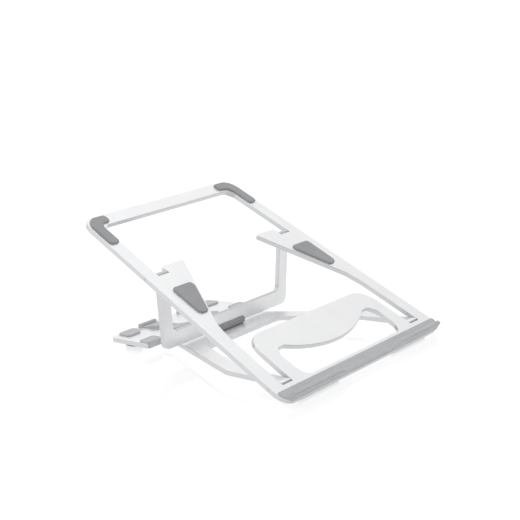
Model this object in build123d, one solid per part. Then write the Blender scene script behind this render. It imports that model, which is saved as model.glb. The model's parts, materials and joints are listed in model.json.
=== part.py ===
from build123d import *
import math
import os

os.makedirs("parts", exist_ok=True)

# ---------------------------------------------------------------- driving sizes (mm, degrees)
# Three flat plates nest in one plane when folded: the tray, the base inside it, and the support.
# Plate frames: x across, y runs rearward from the plate's own hinge axis, z normal to the plate.
T = 4.0                  # plate thickness
EDGE = 0.3               # chamfer along every plate edge
TAPER = 0.1027           # inward taper of every side edge, mm per mm of length
HALF_W = 130.0           # tray half width at the front hinge axis
TRAY_FRONT = -18.7
TRAY_REAR = 216.5
TRAY_FRONT_R = 13.0
TRAY_REAR_R = 14.0
CROSSBAR_FRONT = 204.1   # inner edge of the tray's rear crossbar
ARM_W = 14.9             # width of the tray arms behind the support hinge
ARM_FRONT_W = 16.0       # width of the tray arms beside the front slots
GAP = 0.6                # working gap beside each hinge knuckle
WALL_GAP = 0.35          # gap between a knuckle's round end and the wall in front of it

LOOP_HALF = 99.1         # half width of the front loop at the hinge axis
LOOP_REAR = 50.0
LOOP_R = 20.0
WINDOW_HALF = 81.0       # window inside the loop
WINDOW_FRONT = -4.0
WINDOW_R = 10.0

SUPPORT_Y = 139.0        # support hinge axis on the tray
EAR_REAR = 145.3
KNUCKLE_W = 13.6
SUPPORT_LEN = 62.4       # hinge axis to the crossbar's outer edge
SUPPORT_BAR = 13.0       # crossbar width of the support frame

BASE_REAR = 186.0
BASE_LEG_W = 13.7
WING_FRONT = 146.8
WING_HALF = 78.0
WING_IN = 2.5            # how much narrower the wings are at the rear
BASE_WINDOW_REAR = 103.0

PIN_R = 1.0
BORE_R = 1.05            # running clearance of a knuckle on its pin
FRONT_PIN_IN = 92.0      # inner end of each front pin
UPPER_PIN_IN = 78.0
PIN_RECESS = 0.2         # pin end below the tray's side face

TRAY_ANGLE = 28.7        # tray against base, in the highest position
SUPPORT_LEAN = 1.5       # the support's foot sits slightly forward of its hinge
BASE_TILT = 2.0          # the base runs down to the rear
HINGE_Z = 11.4           # front hinge axis above the desk
HINGE_Y = -87.0          # puts the origin under the middle of the whole stand

PAD_T = 1.6              # tray pads above the plate
BASE_PAD_T = 1.5         # base pads above the plate
PAD_SINK = 0.3           # depth each pad is let into its plate
PAD_EDGE = 0.5           # bevel on the top rim of each pad
WRAP_T = 1.0             # silicone skirt in front of each wing

LIP_REAR = -7.0          # rear edge of the silicone lip
LIP_END = 1.3            # lip stops this far inside the tray's side edges
LIP_FLOOR_T = 1.2
LIP_WALL = 4.0           # wall thickness, silicone and flange together
LIP_TOP = T / 2 + 6.2
LIP_LOW = T / 2 + 2.0    # top of the lip in the finger recess
LIP_SKIRT = 1.2           # the skirt in front of the tray edge ends here
SKIRT_T = 1.2
FLANGE_T = 1.4
FLANGE_TOP = T / 2 + 4.8
FLANGE_END = 116.0
RECESS_LOW = 36.0        # half width of the finger recess at its floor
RECESS_HIGH = 50.0
LIP_FULL = 123.0         # the wall keeps its height out to here
LIP_FADE = 126.5         # and has run down to the floor here

SLEEVE_HALF = 22.8
SLEEVE_WALL = 2.1        # silicone under the crossbar's edge
SLEEVE_SIDE = 2.3        # and on its two faces
SLEEVE_COVER = 3.6       # how far the sleeve reaches up the crossbar

REAR_FOOT_X, REAR_FOOT_Y, REAR_FOOT_R = 62.0, 172.0, 7.0
FRONT_FOOT_X = (46.0, 106.0)   # span of each bumper under the tray's front edge
FRONT_FOOT_Y = (-17.6, -14.2)


# ---------------------------------------------------------------- edge lines
def tray_outer(y):
    return HALF_W - TAPER * y


def arm_inner(y):
    return tray_outer(y) - ARM_W


def slot_outer(y):
    return tray_outer(y) - ARM_FRONT_W


def loop_outer(y):
    return LOOP_HALF - TAPER * y


def base_leg_inner(y):
    return loop_outer(y) + GAP


def base_leg_outer(y):
    return base_leg_inner(y) + BASE_LEG_W


def support_outer(d):
    return arm_inner(SUPPORT_Y + d) - GAP


def support_inner(d):
    return support_outer(d) - KNUCKLE_W


# ---------------------------------------------------------------- placing
def to_world(shape):
    return Pos(0, HINGE_Y, HINGE_Z) * Rot(-BASE_TILT, 0, 0) * shape


def tray_to_world(shape):
    return to_world(Rot(TRAY_ANGLE, 0, 0) * shape)


def support_to_tray(shape):
    return Pos(0, SUPPORT_Y, 0) * Rot(-90 - SUPPORT_LEAN - TRAY_ANGLE, 0, 0) * shape


def support_to_world(shape):
    return tray_to_world(support_to_tray(shape))


# ---------------------------------------------------------------- outlines
def path_edges(points):
    """Lines through (x, y, r) points, each corner between them rounded to its own radius r."""
    edges = []
    last = Vector(*points[0][:2])
    for before, here, after in zip(points, points[1:], points[2:]):
        corner = Vector(*here[:2])
        radius = here[2]
        if radius <= 0:
            edges.append(Line(last, corner))
            last = corner
            continue
        u = (Vector(*before[:2]) - corner).normalized()
        v = (Vector(*after[:2]) - corner).normalized()
        half = math.acos(max(-1.0, min(1.0, u.dot(v)))) / 2
        cut = radius / math.tan(half)
        centre = corner + (u + v).normalized() * (radius / math.sin(half))
        middle = centre + (corner - centre).normalized() * radius
        edges.append(Line(last, corner + u * cut))
        edges.append(ThreePointArc(corner + u * cut, middle, corner + v * cut))
        last = corner + v * cut
    edges.append(Line(last, Vector(*points[-1][:2])))
    return edges


def mirrored(points):
    return [(-x, y, r) for x, y, r in reversed(points)]


def closed_face(points):
    """Closed outline; it starts and ends in the middle of its first edge."""
    (x0, y0, _), (x1, y1, _) = points[-1], points[0]
    start = ((x0 + x1) / 2, (y0 + y1) / 2, 0)
    return Face(Wire(path_edges([start] + points + [start])))


def symmetric_face(half):
    """Closed outline from its right half, listed anticlockwise."""
    return closed_face(half + mirrored(half))


def slab(face, low, high):
    return Pos(0, 0, low) * extrude(face, high - low, dir=(0, 0, 1))


def rim_edges(solid):
    """Edges of the top and bottom faces, without those on the hinge line."""
    groups = solid.edges().group_by(Axis.Z)
    return [e for e in groups[0] + groups[-1] if abs(e.center().Y) > 0.01]


def plate(face):
    body = slab(face, -T / 2, T / 2)
    return chamfer(rim_edges(body), EDGE)


def x_rod(radius, x0, x1, y=0.0, bevel=0.0):
    """Round bar along X between x0 and x1."""
    rod = Cylinder(radius, abs(x1 - x0))
    if bevel:
        rod = chamfer(rod.edges().filter_by(GeomType.CIRCLE), bevel)
    return Pos((x0 + x1) / 2, y, 0) * Rot(0, 90, 0) * rod


def side_profile(points, half_width):
    """Solid with a (y, z) profile, running along X to half_width on both sides."""
    face = Face(Wire(Polyline([(0, y, z) for y, z in points], close=True).edges()))
    return extrude(face, half_width, dir=(1, 0, 0), both=True)


# ---------------------------------------------------------------- pads
def pad_solid(points, side, height, low=T / 2 - PAD_SINK):
    """Flat pad with a bevelled top rim."""
    face = closed_face(points if side > 0 else mirrored(points))
    body = slab(face, low, T / 2 + height)
    return chamfer(body.edges().group_by(Axis.Z)[-1], PAD_EDGE)


def pad_pocket(points, side):
    return slab(closed_face(points if side > 0 else mirrored(points)), T / 2 - PAD_SINK, T)


REST_PAD = [
    (80.0, 119.8, 3.0),
    (79.3, 114.5, 3.0),
    (96.8, 86.8, 4.0),
    (107.6, 86.8, 4.5),
    (105.2, 119.8, 4.0),
]
CORNER_PAD = [
    (81.2, 214.5, 3.0),
    (81.2, 206.2, 3.0),
    (95.5, 206.2, 8.0),
    (97.6, 181.7, 3.5),
    (109.3, 181.7, 3.5),
    (106.0, 214.5, 13.0),
]
TRAY_PADS = {"rest_pad": REST_PAD, "corner_pad": CORNER_PAD}

BASE_REAR_PAD = [
    (46.5, 184.8, 3.0),
    (46.5, 178.6, 3.0),
    (52.5, 172.2, 4.0),
    (69.0, 172.2, 3.0),
    (67.8, 184.8, 4.0),
]
BASE_FRONT_PAD = [
    (57.0, 157.0, 3.0),
    (57.0, WING_FRONT, 0),
    (77.4, WING_FRONT, 0),
    (77.0, 157.0, 3.0),
]
STRIP_FRONT, STRIP_REAR = 149.6, 184.8
STRIP = [
    (18.0, STRIP_REAR, 1.5),
    (10.0, STRIP_FRONT, 1.0),
    (33.0, STRIP_FRONT, 1.0),
    (39.5, STRIP_REAR, 1.5),
]
BASE_PADS = {"base_rear_pad": BASE_REAR_PAD, "base_front_pad": BASE_FRONT_PAD}


# ---------------------------------------------------------------- tray
def tray_opening():
    """Opening that takes the base and the support when the stand is folded."""
    wall = SUPPORT_Y - T / 2 - WALL_GAP
    ear = support_inner(0) - WALL_GAP
    slot_front = -T / 2 - WALL_GAP
    return symmetric_face([
        (loop_outer(LOOP_REAR), LOOP_REAR, LOOP_R),
        (loop_outer(slot_front), slot_front, 0.5),
        (slot_outer(slot_front), slot_front, 0.5),
        (slot_outer(55.0), 55.0, 14.0),
        (103.6, 72.0, 18.0),
        (56.0, EAR_REAR - 0.6, 2.0),
        (60.0, EAR_REAR, 2.0),
        (ear, EAR_REAR, 3.5),
        (ear, wall, 0.5),
        (arm_inner(wall), wall, 0.5),
        (arm_inner(CROSSBAR_FRONT), CROSSBAR_FRONT, 10.5),
    ])


def loop_window():
    """Window in the front loop: straight front, a scoop at each side and a long curved rear edge."""
    right = [
        (0.0, WINDOW_FRONT, 0),
        (WINDOW_HALF, WINDOW_FRONT, WINDOW_R),
        (WINDOW_HALF, 22.5, 8.0),
        (74.0, 29.8, 5.0),
        (64.5, 29.8, 6.0),
        (57.0, 26.2, 0),
    ]
    ends = [Vector(57.0, 26.2), Vector(-57.0, 26.2)]
    arc = ThreePointArc(ends[0], Vector(0, 15.2), ends[1])
    return Face(Wire(path_edges(right) + [arc] + path_edges(mirrored(right))))


def make_tray_plate():
    outline = symmetric_face([
        (tray_outer(TRAY_FRONT), TRAY_FRONT, TRAY_FRONT_R),
        (tray_outer(TRAY_REAR), TRAY_REAR, TRAY_REAR_R),
    ])
    body = slab(outline, -T / 2, T / 2)
    body -= slab(tray_opening(), -T, T)
    body -= slab(loop_window(), -T, T)
    groups = body.edges().group_by(Axis.Z)
    body = chamfer(groups[0] + groups[-1], EDGE)
    # the silicone skirt sits in a step along the front edge
    step = Box(2 * HALF_W + 20, 10, 2 * T)
    body -= Pos(0, TRAY_FRONT + SKIRT_T - 5, LIP_SKIRT + T) * step
    for side in (-1, 1):
        length = FLANGE_END - RECESS_HIGH
        centre = side * (FLANGE_END + RECESS_HIGH) / 2
        body += Pos(centre, FLANGE_Y, FLANGE_TOP / 2) * Box(length, FLANGE_T, FLANGE_TOP)
        body -= x_rod(PIN_R, side * (HALF_W + 5), side * FRONT_PIN_IN)
        body -= x_rod(PIN_R, side * HALF_W, side * UPPER_PIN_IN, SUPPORT_Y)
        for points in TRAY_PADS.values():
            body -= pad_pocket(points, side)
    # relief below each notch for the standing support leg
    leg = Box(2 * (arm_inner(SUPPORT_Y) + GAP), 40, T + 2 * WALL_GAP)
    relief = support_to_tray(Pos(0, 20, 0) * leg)
    core = Box(2 * (support_inner(0) - WALL_GAP), 300, 80)
    relief -= Pos(0, SUPPORT_Y, 0) * core
    relief = relief & Pos(0, SUPPORT_Y, 0) * Box(2 * arm_inner(SUPPORT_Y), 60, 80)
    body -= relief
    return tray_to_world(body)


FLANGE_Y = TRAY_FRONT + SKIRT_T + FLANGE_T / 2


def make_lip():
    """Silicone channel over the tray's front edge, low in the middle for the fingers."""
    floor = T / 2 + LIP_FLOOR_T
    inner = TRAY_FRONT + LIP_WALL
    strip = side_profile([
        (LIP_REAR, T / 2),
        (LIP_REAR, floor - 0.5),
        (LIP_REAR - 0.7, floor),
        (inner + 0.9, floor),
        (inner + 0.2, floor + 0.5),
        (inner, floor + 1.4),
        (inner, LIP_TOP - 0.8),
        (inner - 0.8, LIP_TOP),
        (TRAY_FRONT + 0.9, LIP_TOP),
        (TRAY_FRONT, LIP_TOP - 0.9),
        (TRAY_FRONT, LIP_SKIRT),
        (TRAY_FRONT + SKIRT_T, LIP_SKIRT),
        (TRAY_FRONT + SKIRT_T, T / 2),
    ], HALF_W + 5)
    top = LIP_TOP + 5
    cutters = [[
        (-RECESS_HIGH, top), (-RECESS_HIGH, LIP_TOP), (-RECESS_LOW, LIP_LOW),
        (RECESS_LOW, LIP_LOW), (RECESS_HIGH, LIP_TOP), (RECESS_HIGH, top),
    ]]
    for side in (-1, 1):
        cutters.append([
            (side * LIP_FULL, top), (side * LIP_FULL, LIP_TOP), (side * LIP_FADE, floor),
            (side * (HALF_W + 9), floor), (side * (HALF_W + 9), top),
        ])
    for points in cutters:
        wire = Polyline([(x, 10, z) for x, z in points], close=True)
        strip -= extrude(Face(Wire(wire.edges())), 60, dir=(0, -1, 0))
    plan = symmetric_face([
        (tray_outer(TRAY_FRONT) - LIP_END, TRAY_FRONT, 9.0),
        (tray_outer(LIP_REAR) - LIP_END, LIP_REAR, 1.5),
    ])
    strip = strip & slab(plan, -T, LIP_TOP + 1)
    for side in (-1, 1):
        length = FLANGE_END - RECESS_HIGH
        centre = side * (FLANGE_END + RECESS_HIGH) / 2
        strip -= Pos(centre, FLANGE_Y, FLANGE_TOP / 2) * Box(length, FLANGE_T, FLANGE_TOP)
    return tray_to_world(strip)


def front_pin(side):
    return tray_to_world(x_rod(PIN_R, side * (HALF_W - PIN_RECESS), side * FRONT_PIN_IN))


def upper_pin(side):
    x_out = tray_outer(SUPPORT_Y) - PIN_RECESS
    return tray_to_world(x_rod(PIN_R, side * x_out, side * UPPER_PIN_IN, SUPPORT_Y))


# ---------------------------------------------------------------- support
def knuckles(body, inner, outer):
    """Round the hinge end of both legs and bore it for the pin."""
    for side in (-1, 1):
        body += x_rod(T / 2, side * outer, side * inner, bevel=EDGE)
    for side in (-1, 1):
        body -= x_rod(BORE_R, side * (outer + 1), side * (inner - 1))
    return body


def make_support_frame():
    """Flat U: two tapering legs and the crossbar it stands on."""
    inner_end = SUPPORT_LEN - SUPPORT_BAR
    half = [
        (support_inner(0), 0.0, 0),
        (support_outer(0), 0.0, 0),
        (support_outer(SUPPORT_LEN), SUPPORT_LEN, 7.5),
    ]
    inner = [
        (-support_inner(inner_end), inner_end, 5.0),
        (support_inner(inner_end), inner_end, 5.0),
    ]
    loop = half + mirrored(half) + inner
    start = (support_inner(10.0), 10.0, 0)
    body = plate(Face(Wire(path_edges([start] + loop + [start]))))
    return support_to_world(knuckles(body, support_inner(0), support_outer(0)))


def make_support_sleeve():
    """Silicone channel over the middle of the crossbar's lower edge."""
    low = SUPPORT_LEN - SLEEVE_COVER
    high = SUPPORT_LEN + SLEEVE_WALL
    outer = Box(2 * SLEEVE_HALF, high - low, T + 2 * SLEEVE_SIDE)
    outer = fillet(outer.edges().filter_by(Axis.X), 2.0)
    for end in (0, -1):
        outer = chamfer(outer.faces().sort_by(Axis.X)[end].edges(), 1.0)
    sleeve = Pos(0, (low + high) / 2, 0) * outer
    # the crossbar and its bevelled edge fill the channel
    bar = Box(4 * SLEEVE_HALF, 3 * SUPPORT_BAR, T)
    bar = chamfer(bar.edges().filter_by(Axis.X), EDGE)
    sleeve -= Pos(0, SUPPORT_LEN - 1.5 * SUPPORT_BAR, 0) * bar
    return support_to_world(sleeve)


# ---------------------------------------------------------------- base
def make_base_plate():
    """Flat plate with two front legs, a wide cross-member and two rear wings."""
    half = [
        (base_leg_inner(0.0), 0.0, 0),
        (base_leg_outer(0.0), 0.0, 0),
        (base_leg_outer(52.0), 52.0, 18.0),
        (52.6, 140.0, 4.0),
        (52.6, WING_FRONT, 1.0),
        (WING_HALF, WING_FRONT, 1.5),
        (WING_HALF - WING_IN, BASE_REAR, 4.5),
    ]
    inner = [
        (-base_leg_inner(45.0), 45.0, 14.0),
        (-56.5, BASE_WINDOW_REAR, 8.0),
        (56.5, BASE_WINDOW_REAR, 8.0),
        (base_leg_inner(45.0), 45.0, 14.0),
    ]
    start = (base_leg_inner(20.0), 20.0, 0)
    body = plate(Face(Wire(path_edges([start] + half + mirrored(half) + inner + [start]))))
    body = knuckles(body, base_leg_inner(0), base_leg_outer(0))
    for side in (-1, 1):
        for points in list(BASE_PADS.values()) + [STRIP]:
            body -= pad_pocket(points, side)
    return to_world(body)


def base_pad(name, side):
    body = pad_solid(BASE_PADS[name], side, BASE_PAD_T)
    if name == "base_front_pad":
        # skirt in front of the wing's edge, with a bevelled lower and upper rim
        skirt = Box(19.6, WRAP_T, T + BASE_PAD_T)
        skirt = chamfer(skirt.edges().filter_by(Axis.X).group_by(Axis.Y)[0], PAD_EDGE)
        body += Pos(side * 67.2, WING_FRONT - WRAP_T / 2, BASE_PAD_T / 2) * skirt
    return to_world(body)




def base_strip(side):
    """Toothed strip: a front ridge, a middle ridge and a rear bar, with ramps between."""
    low = T / 2 + 0.9
    sunk = T / 2 - PAD_SINK
    body = side_profile([
        (STRIP_FRONT, sunk), (STRIP_FRONT, low + 1.3), (150.4, low + 2.0), (153.0, low + 2.0),
        (161.5, low), (166.8, low), (167.5, low + 1.4), (168.4, low + 2.0), (170.4, low + 2.0),
        (178.4, low), (180.6, low), (180.9, low + 1.6), (181.7, low + 2.3), (183.3, low + 2.3),
        (184.4, low + 1.6), (STRIP_REAR, sunk),
    ], 60)
    plan = slab(closed_face(STRIP if side > 0 else mirrored(STRIP)), 0, 12)
    return to_world(body & plan)


DESK = Pos(0, 0, -50) * Box(800, 800, 100)


def rear_foot(side):
    """Round silicone foot from the underside of the base down to the desk, cut flat on it."""
    length = HINGE_Z + 5
    post = Cylinder(REAR_FOOT_R, length)
    return to_world(Pos(side * REAR_FOOT_X, REAR_FOOT_Y, -T / 2 - length / 2) * post) - DESK


def front_foot(side):
    """Low silicone bumper under the tray's front edge, cut flat on the desk."""
    low, high = FRONT_FOOT_Y
    inner, outer = FRONT_FOOT_X
    bar = Box(outer - inner, high - low, HINGE_Z)
    bar = fillet(bar.edges().filter_by(Axis.Z), (high - low) * 0.45)
    centre = Pos(side * (inner + outer) / 2, (low + high) / 2, -T / 2 - HINGE_Z / 2)
    return tray_to_world(centre * bar) - DESK


# ---------------------------------------------------------------- write every sub-part
solids = {
    "tray_plate": make_tray_plate(),
    "lip_strip": make_lip(),
    "base_plate": make_base_plate(),
    "support_frame": make_support_frame(),
    "support_sleeve": make_support_sleeve(),
}
for label, side in (("left", -1), ("right", 1)):
    solids[f"front_pin_{label}"] = front_pin(side)
    solids[f"upper_pin_{label}"] = upper_pin(side)
    solids[f"base_strip_{label}"] = base_strip(side)
    solids[f"rear_foot_{label}"] = rear_foot(side)
    solids[f"front_foot_{label}"] = front_foot(side)
    for name, points in TRAY_PADS.items():
        solids[f"{name}_{label}"] = tray_to_world(pad_solid(points, side, PAD_T))
    for name in BASE_PADS:
        solids[f"{name}_{label}"] = base_pad(name, side)

for name, shape in solids.items():
    export_step(shape, f"parts/{name}.step")
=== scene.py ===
"""Looks of the folding laptop stand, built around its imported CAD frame."""
import json
import math

import bpy
from mathutils import Matrix, Vector

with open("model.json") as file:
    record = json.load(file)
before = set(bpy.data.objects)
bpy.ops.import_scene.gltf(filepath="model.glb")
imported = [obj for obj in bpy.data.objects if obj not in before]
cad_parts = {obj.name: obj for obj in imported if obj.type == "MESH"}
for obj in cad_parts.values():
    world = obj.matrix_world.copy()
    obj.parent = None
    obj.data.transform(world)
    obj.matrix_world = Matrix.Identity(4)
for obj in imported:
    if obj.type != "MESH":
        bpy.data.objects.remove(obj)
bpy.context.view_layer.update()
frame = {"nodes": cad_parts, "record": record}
nodes = frame["nodes"]

joints = {joint["name"]: joint for joint in frame["record"]["behaviour"]["joints"]}
FRONT_HINGE = Vector(joints["tray_hinge"]["pos_m"])
UPPER_HINGE = Vector(joints["support_hinge"]["pos_m"])
BASE_TILT = math.radians(2.0)

# Linear colours of the finishes. The aluminium's faces mottle between two close tones.
FACE_LOW, FACE_HIGH = (0.885, 0.889, 0.900), (0.920, 0.923, 0.930)
# Painted shade: the plates' sawn and bevelled edges are painted darker than their faces.
EDGE_PAINTED_SHADE = (0.64, 0.645, 0.660)
STEEL_LOW, STEEL_HIGH = (0.50, 0.51, 0.53), (0.68, 0.69, 0.70)
LIP_TONES = (0.432, 0.446, 0.458), (0.480, 0.494, 0.504)
PAD_TONES = (0.285, 0.288, 0.296), (0.330, 0.333, 0.341)
BASE_PAD_TONES = (0.465, 0.469, 0.480), (0.525, 0.529, 0.540)
SLEEVE_TONES = (0.245, 0.247, 0.253), (0.290, 0.292, 0.298)
FOOT_TONES = (0.170, 0.172, 0.176), (0.205, 0.207, 0.211)

# Painted light and shade on the one aluminium: the base plate's faces are painted brighter and the
# support frame's darker than the tray's.
BASE_PAINTED_LIGHT, SUPPORT_PAINTED_SHADE = 1.06, 0.90

# Radii in metres over which the shader rounds an edge.
PLATE_ROUNDING, SILICONE_ROUNDING, PIN_ROUNDING = 0.00035, 0.0006, 0.0002
RING_PHASE = 38000.0    # radians of ring pattern per metre of radius

# Floor and lights, metres and watts.
FLOOR_HALF = 30.0
FLOOR_TONES = (0.30, 0.30, 0.30), (0.31, 0.31, 0.31)
FLOOR_GLOW = 0.66
TOP_WATTS, FRONT_WATTS = 3.0, 0.8


# ---------------------------------------------------------------- node helpers
class Nodes:
    """A material's node tree with short calls for the nodes that the finishes share."""

    def __init__(self, name):
        self.material = bpy.data.materials.new(name)
        self.material.use_nodes = True
        self.tree = self.material.node_tree
        self.shader = self.tree.nodes["Principled BSDF"]
        self.coord = self.tree.nodes.new("ShaderNodeTexCoord")

    def add(self, kind, **values):
        node = self.tree.nodes.new(kind)
        for key, value in values.items():
            setattr(node, key, value)
        return node

    def link(self, source, target):
        self.tree.links.new(source, target)

    def set(self, **values):
        """Constant values go straight onto the shader's sockets."""
        for key, value in values.items():
            self.shader.inputs[key.replace("_", " ")].default_value = value

    def noise(self, scale, detail=3.0, roughness=0.5):
        node = self.add("ShaderNodeTexNoise")
        node.inputs["Scale"].default_value = scale
        node.inputs["Detail"].default_value = detail
        node.inputs["Roughness"].default_value = roughness
        self.link(self.coord.outputs["Object"], node.inputs["Vector"])
        return node.outputs["Fac"]

    def remap(self, value, low, high, out_low, out_high):
        node = self.add("ShaderNodeMapRange")
        for key, number in zip(("From Min", "From Max", "To Min", "To Max"),
                               (low, high, out_low, out_high)):
            node.inputs[key].default_value = number
        self.link(value, node.inputs["Value"])
        return node.outputs["Result"]

    def mix_colour(self, factor, first, second):
        node = self.add("ShaderNodeMix", data_type="RGBA")
        self.link(factor, node.inputs["Factor"])
        for socket, colour in ((node.inputs[6], first), (node.inputs[7], second)):
            if isinstance(colour, tuple):
                socket.default_value = (*colour, 1.0)
            else:
                self.link(colour, socket)
        return node.outputs[2]

    def math(self, operation, first, second):
        node = self.add("ShaderNodeMath", operation=operation)
        for socket, value in zip(node.inputs, (first, second)):
            if isinstance(value, (int, float)):
                socket.default_value = value
            else:
                self.link(value, socket)
        return node.outputs[0]

    def bumps(self, layers, rounding=0.0):
        """Bump from (height, strength, distance) layers over softly rounded edges."""
        normal = None
        if rounding:
            bevel = self.add("ShaderNodeBevel", samples=6)
            bevel.inputs["Radius"].default_value = rounding
            normal = bevel.outputs["Normal"]
        for height, strength, distance in layers:
            bump = self.add("ShaderNodeBump")
            bump.inputs["Strength"].default_value = strength
            bump.inputs["Distance"].default_value = distance
            self.link(height, bump.inputs["Height"])
            if normal:
                self.link(normal, bump.inputs["Normal"])
            normal = bump.outputs["Normal"]
        self.link(normal, self.shader.inputs["Normal"])


# ---------------------------------------------------------------- finishes
def aluminium(name, plate_normal, tone=1.0):
    """Bead-blasted, clear-anodised plate with smoother cut edges that carry painted shade."""
    mat = Nodes(name)
    blast = mat.noise(5200.0, 2.0)
    cloud = mat.noise(38.0, 4.0, 0.55)
    handling = mat.noise(210.0, 5.0, 0.6)
    # 1 on the plate's two broad faces and 0 on its sawn and bevelled edges, which get painted shade
    facing = mat.add("ShaderNodeVectorMath", operation="DOT_PRODUCT")
    mat.link(mat.coord.outputs["Normal"], facing.inputs[0])
    facing.inputs[1].default_value = plate_normal
    broad = mat.math("ABSOLUTE", facing.outputs["Value"], 0.0)
    broad = mat.remap(broad, 0.55, 0.95, 0.0, 1.0)
    # tone scales the face colours: above 1 it is painted light, below 1 painted shade
    low = tuple(tone * value for value in FACE_LOW)
    high = tuple(tone * value for value in FACE_HIGH)
    face_colour = mat.mix_colour(mat.remap(cloud, 0.3, 0.7, 0.0, 1.0), low, high)
    mat.link(mat.mix_colour(broad, EDGE_PAINTED_SHADE, face_colour),
             mat.shader.inputs["Base Color"])
    rough = mat.remap(handling, 0.35, 0.70, 0.30, 0.40)
    edge_rough = mat.remap(blast, 0.3, 0.7, 0.20, 0.26)
    blend = mat.add("ShaderNodeMix", data_type="FLOAT")
    mat.link(broad, blend.inputs["Factor"])
    mat.link(edge_rough, blend.inputs[2])
    mat.link(rough, blend.inputs[3])
    mat.link(blend.outputs[0], mat.shader.inputs["Roughness"])
    mat.set(Metallic=0.82)
    mat.bumps([(blast, 0.10, 0.00003), (handling, 0.05, 0.00004)], rounding=PLATE_ROUNDING)
    return mat.material


def silicone(name, dark, light, gloss=0.52):
    """Moulded matte silicone with a fine spark-eroded grain and faint handling marks."""
    mat = Nodes(name)
    grain = mat.noise(2600.0, 2.0)
    pores = mat.noise(900.0, 4.0, 0.6)
    cloud = mat.noise(60.0, 5.0, 0.6)
    tone = mat.remap(cloud, 0.30, 0.70, 0.0, 1.0)
    base = mat.mix_colour(tone, dark, light)
    speck = mat.remap(pores, 0.62, 0.72, 0.0, 0.22)
    paler = tuple(min(1.0, value * 1.35) for value in light)
    mat.link(mat.mix_colour(speck, base, paler), mat.shader.inputs["Base Color"])
    mat.link(mat.remap(pores, 0.35, 0.65, gloss - 0.06, gloss + 0.10),
             mat.shader.inputs["Roughness"])
    mat.set(Specular_IOR_Level=0.42, Sheen_Weight=0.12, Sheen_Roughness=0.5)
    mat.bumps([(grain, 0.25, 0.00006), (cloud, 0.10, 0.0001)], rounding=SILICONE_ROUNDING)
    return mat.material


def turned_steel(name, axis_point):
    """Pin end with fine turning rings round the pin's axis."""
    mat = Nodes(name)
    offset = mat.add("ShaderNodeVectorMath", operation="SUBTRACT")
    mat.link(mat.coord.outputs["Object"], offset.inputs[0])
    offset.inputs[1].default_value = axis_point
    flat = mat.add("ShaderNodeVectorMath", operation="MULTIPLY")
    mat.link(offset.outputs[0], flat.inputs[0])
    flat.inputs[1].default_value = (0.0, 1.0, 1.0)
    radius = mat.add("ShaderNodeVectorMath", operation="LENGTH")
    mat.link(flat.outputs[0], radius.inputs[0])
    rings = mat.math("SINE", mat.math("MULTIPLY", radius.outputs["Value"], RING_PHASE), 0.0)
    wear = mat.noise(1500.0, 3.0)
    mat.link(mat.mix_colour(wear, STEEL_LOW, STEEL_HIGH),
             mat.shader.inputs["Base Color"])
    mat.link(mat.remap(wear, 0.3, 0.7, 0.22, 0.38), mat.shader.inputs["Roughness"])
    mat.set(Metallic=1.0)
    mat.bumps([(rings, 0.15, 0.00002)], rounding=PIN_ROUNDING)
    return mat.material


def finish_node(name, material):
    """Puts one finish on a CAD node."""
    node = nodes[name]
    node.data.materials.clear()
    node.data.materials.append(material)
    for polygon in node.data.polygons:
        polygon.material_index = 0


tray_angle = math.atan2(UPPER_HINGE.z - FRONT_HINGE.z, UPPER_HINGE.y - FRONT_HINGE.y)
tray_normal = (0.0, -math.sin(tray_angle), math.cos(tray_angle))
base_normal = (0.0, math.sin(BASE_TILT), math.cos(BASE_TILT))
support_normal = (0.0, 1.0, 0.0)

finish_node("tray_plate", aluminium("tray_aluminium", tray_normal))
# The base plate's faces carry painted light and the support frame's faces carry painted shade.
finish_node("base_plate", aluminium("base_aluminium", base_normal, BASE_PAINTED_LIGHT))
finish_node("support_frame", aluminium("support_aluminium", support_normal, SUPPORT_PAINTED_SHADE))

lip_silicone = silicone("lip_silicone", *LIP_TONES)
pad_silicone = silicone("pad_silicone", *PAD_TONES)
base_silicone = silicone("base_silicone", *BASE_PAD_TONES)
sleeve_silicone = silicone("sleeve_silicone", *SLEEVE_TONES)
foot_silicone = silicone("foot_silicone", *FOOT_TONES)

finish_node("lip_strip", lip_silicone)
finish_node("support_sleeve", sleeve_silicone)
for side in ("left", "right"):
    for pad in ("rest_pad", "corner_pad"):
        finish_node(f"{pad}_{side}", pad_silicone)
    for pad in ("base_rear_pad", "base_front_pad", "base_strip"):
        finish_node(f"{pad}_{side}", base_silicone)
    for post in ("front_foot", "rear_foot"):
        finish_node(f"{post}_{side}", foot_silicone)
    finish_node(f"front_pin_{side}", turned_steel(f"front_pin_steel_{side}", FRONT_HINGE))
    finish_node(f"upper_pin_{side}", turned_steel(f"upper_pin_steel_{side}", UPPER_HINGE))


# ---------------------------------------------------------------- stage
def make_floor():
    mesh = bpy.data.meshes.new("floor")
    corners = [(x * FLOOR_HALF, y * FLOOR_HALF, 0) for x, y in ((-1, -1), (1, -1), (1, 1), (-1, 1))]
    mesh.from_pydata(corners, [], [(0, 1, 2, 3)])
    floor = bpy.data.objects.new("floor", mesh)
    bpy.context.scene.collection.objects.link(floor)
    mat = Nodes("floor_gloss")
    tone = mat.remap(mat.noise(3.0, 2.0), 0.3, 0.7, 0.0, 1.0)
    mat.link(mat.mix_colour(tone, *FLOOR_TONES),
             mat.shader.inputs["Base Color"])
    mat.set(Roughness=0.07, Specular_IOR_Level=0.5, Emission_Strength=FLOOR_GLOW)
    mat.shader.inputs["Emission Color"].default_value = (1.0, 1.0, 1.0, 1.0)
    mesh.materials.append(mat.material)


def add_area(name, location, target, size, power):
    light = bpy.data.lights.new(name, "AREA")
    light.shape = "RECTANGLE"
    light.size, light.size_y = size
    light.energy = power
    lamp = bpy.data.objects.new(name, light)
    lamp.location = location
    lamp.rotation_euler = (Vector(target) - Vector(location)).to_track_quat("-Z", "Y").to_euler()
    bpy.context.scene.collection.objects.link(lamp)


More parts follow.
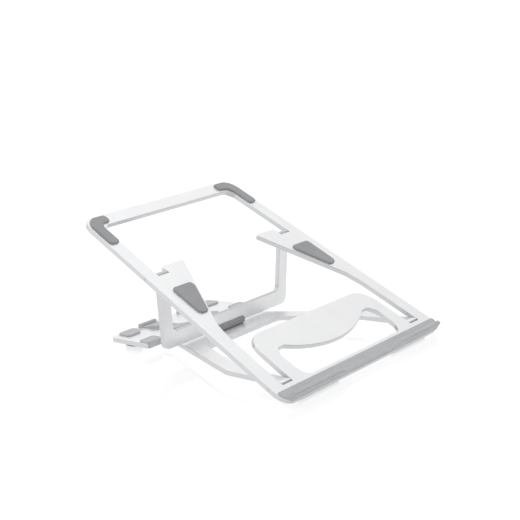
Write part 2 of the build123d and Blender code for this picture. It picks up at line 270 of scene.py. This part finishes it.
def make_world():
    """White backdrop; the light itself fades from a bright top to a dimmer front horizon."""
    world = bpy.data.worlds.new("studio")
    world.use_nodes = True
    tree = world.node_tree
    background = tree.nodes["Background"]
    coord = tree.nodes.new("ShaderNodeTexCoord")
    axes = tree.nodes.new("ShaderNodeSeparateXYZ")
    tree.links.new(coord.outputs["Generated"], axes.inputs[0])
    sky = tree.nodes.new("ShaderNodeMapRange")
    sky.interpolation_type = "SMOOTHSTEP"
    for key, value in zip(("From Min", "From Max", "To Min", "To Max"), (-0.1, 0.9, 0.62, 1.12)):
        sky.inputs[key].default_value = value
    tree.links.new(axes.outputs["Z"], sky.inputs["Value"])
    depth = tree.nodes.new("ShaderNodeMapRange")
    depth.interpolation_type = "SMOOTHSTEP"
    for key, value in zip(("From Min", "From Max", "To Min", "To Max"), (-0.9, 0.6, 0.62, 1.10)):
        depth.inputs[key].default_value = value
    tree.links.new(axes.outputs["Y"], depth.inputs["Value"])
    light = tree.nodes.new("ShaderNodeMath")
    light.operation = "MULTIPLY"
    tree.links.new(sky.outputs[0], light.inputs[0])
    tree.links.new(depth.outputs[0], light.inputs[1])
    path = tree.nodes.new("ShaderNodeLightPath")
    seen = tree.nodes.new("ShaderNodeMix")
    tree.links.new(path.outputs["Is Camera Ray"], seen.inputs["Factor"])
    tree.links.new(light.outputs[0], seen.inputs[2])
    seen.inputs[3].default_value = 1.0
    tree.links.new(seen.outputs[0], background.inputs["Strength"])
    background.inputs["Color"].default_value = (1.0, 1.0, 1.0, 1.0)
    bpy.context.scene.world = world


make_floor()
make_world()
add_area("top_box", (0.1, 0.1, 1.6), (0, 0, 0), (1.6, 1.6), TOP_WATTS)
add_area("front_box", (-1.2, -1.4, 0.9), (0, 0, 0.05), (1.0, 0.8), FRONT_WATTS)

# ---------------------------------------------------------------- camera
# The view is described in the base plate's own frame, which leans back by BASE_TILT.
# The hinge distances are metres from the camera to the middle of the front hinge.
CAMERA_TURN = math.radians(58.4)
CAMERA_DIP = math.radians(12.7)
HINGE_AHEAD, HINGE_RIGHT, HINGE_BELOW = 1.3854, 0.0745, 0.0729
FOCAL_MM, SENSOR_MM = 118.45, 36.0

lean = Matrix.Rotation(-BASE_TILT, 3, "X")
ahead = lean @ Vector((math.sin(CAMERA_TURN) * math.cos(CAMERA_DIP),
                       math.cos(CAMERA_TURN) * math.cos(CAMERA_DIP),
                       -math.sin(CAMERA_DIP)))
right = lean @ Vector((math.cos(CAMERA_TURN), -math.sin(CAMERA_TURN), 0.0))
below = ahead.cross(right)

lens = bpy.data.cameras.new("camera")
lens.sensor_width = SENSOR_MM
lens.lens = FOCAL_MM
lens.clip_start = 0.05
lens.clip_end = 100.0
camera = bpy.data.objects.new("camera", lens)
bpy.context.scene.collection.objects.link(camera)
spot = FRONT_HINGE - ahead * HINGE_AHEAD - right * HINGE_RIGHT - below * HINGE_BELOW
axes = Matrix((right, -below, -ahead)).transposed().to_4x4()
camera.matrix_world = Matrix.Translation(spot) @ axes
bpy.context.scene.camera = camera
bpy.context.scene.view_settings.view_transform = "Standard"
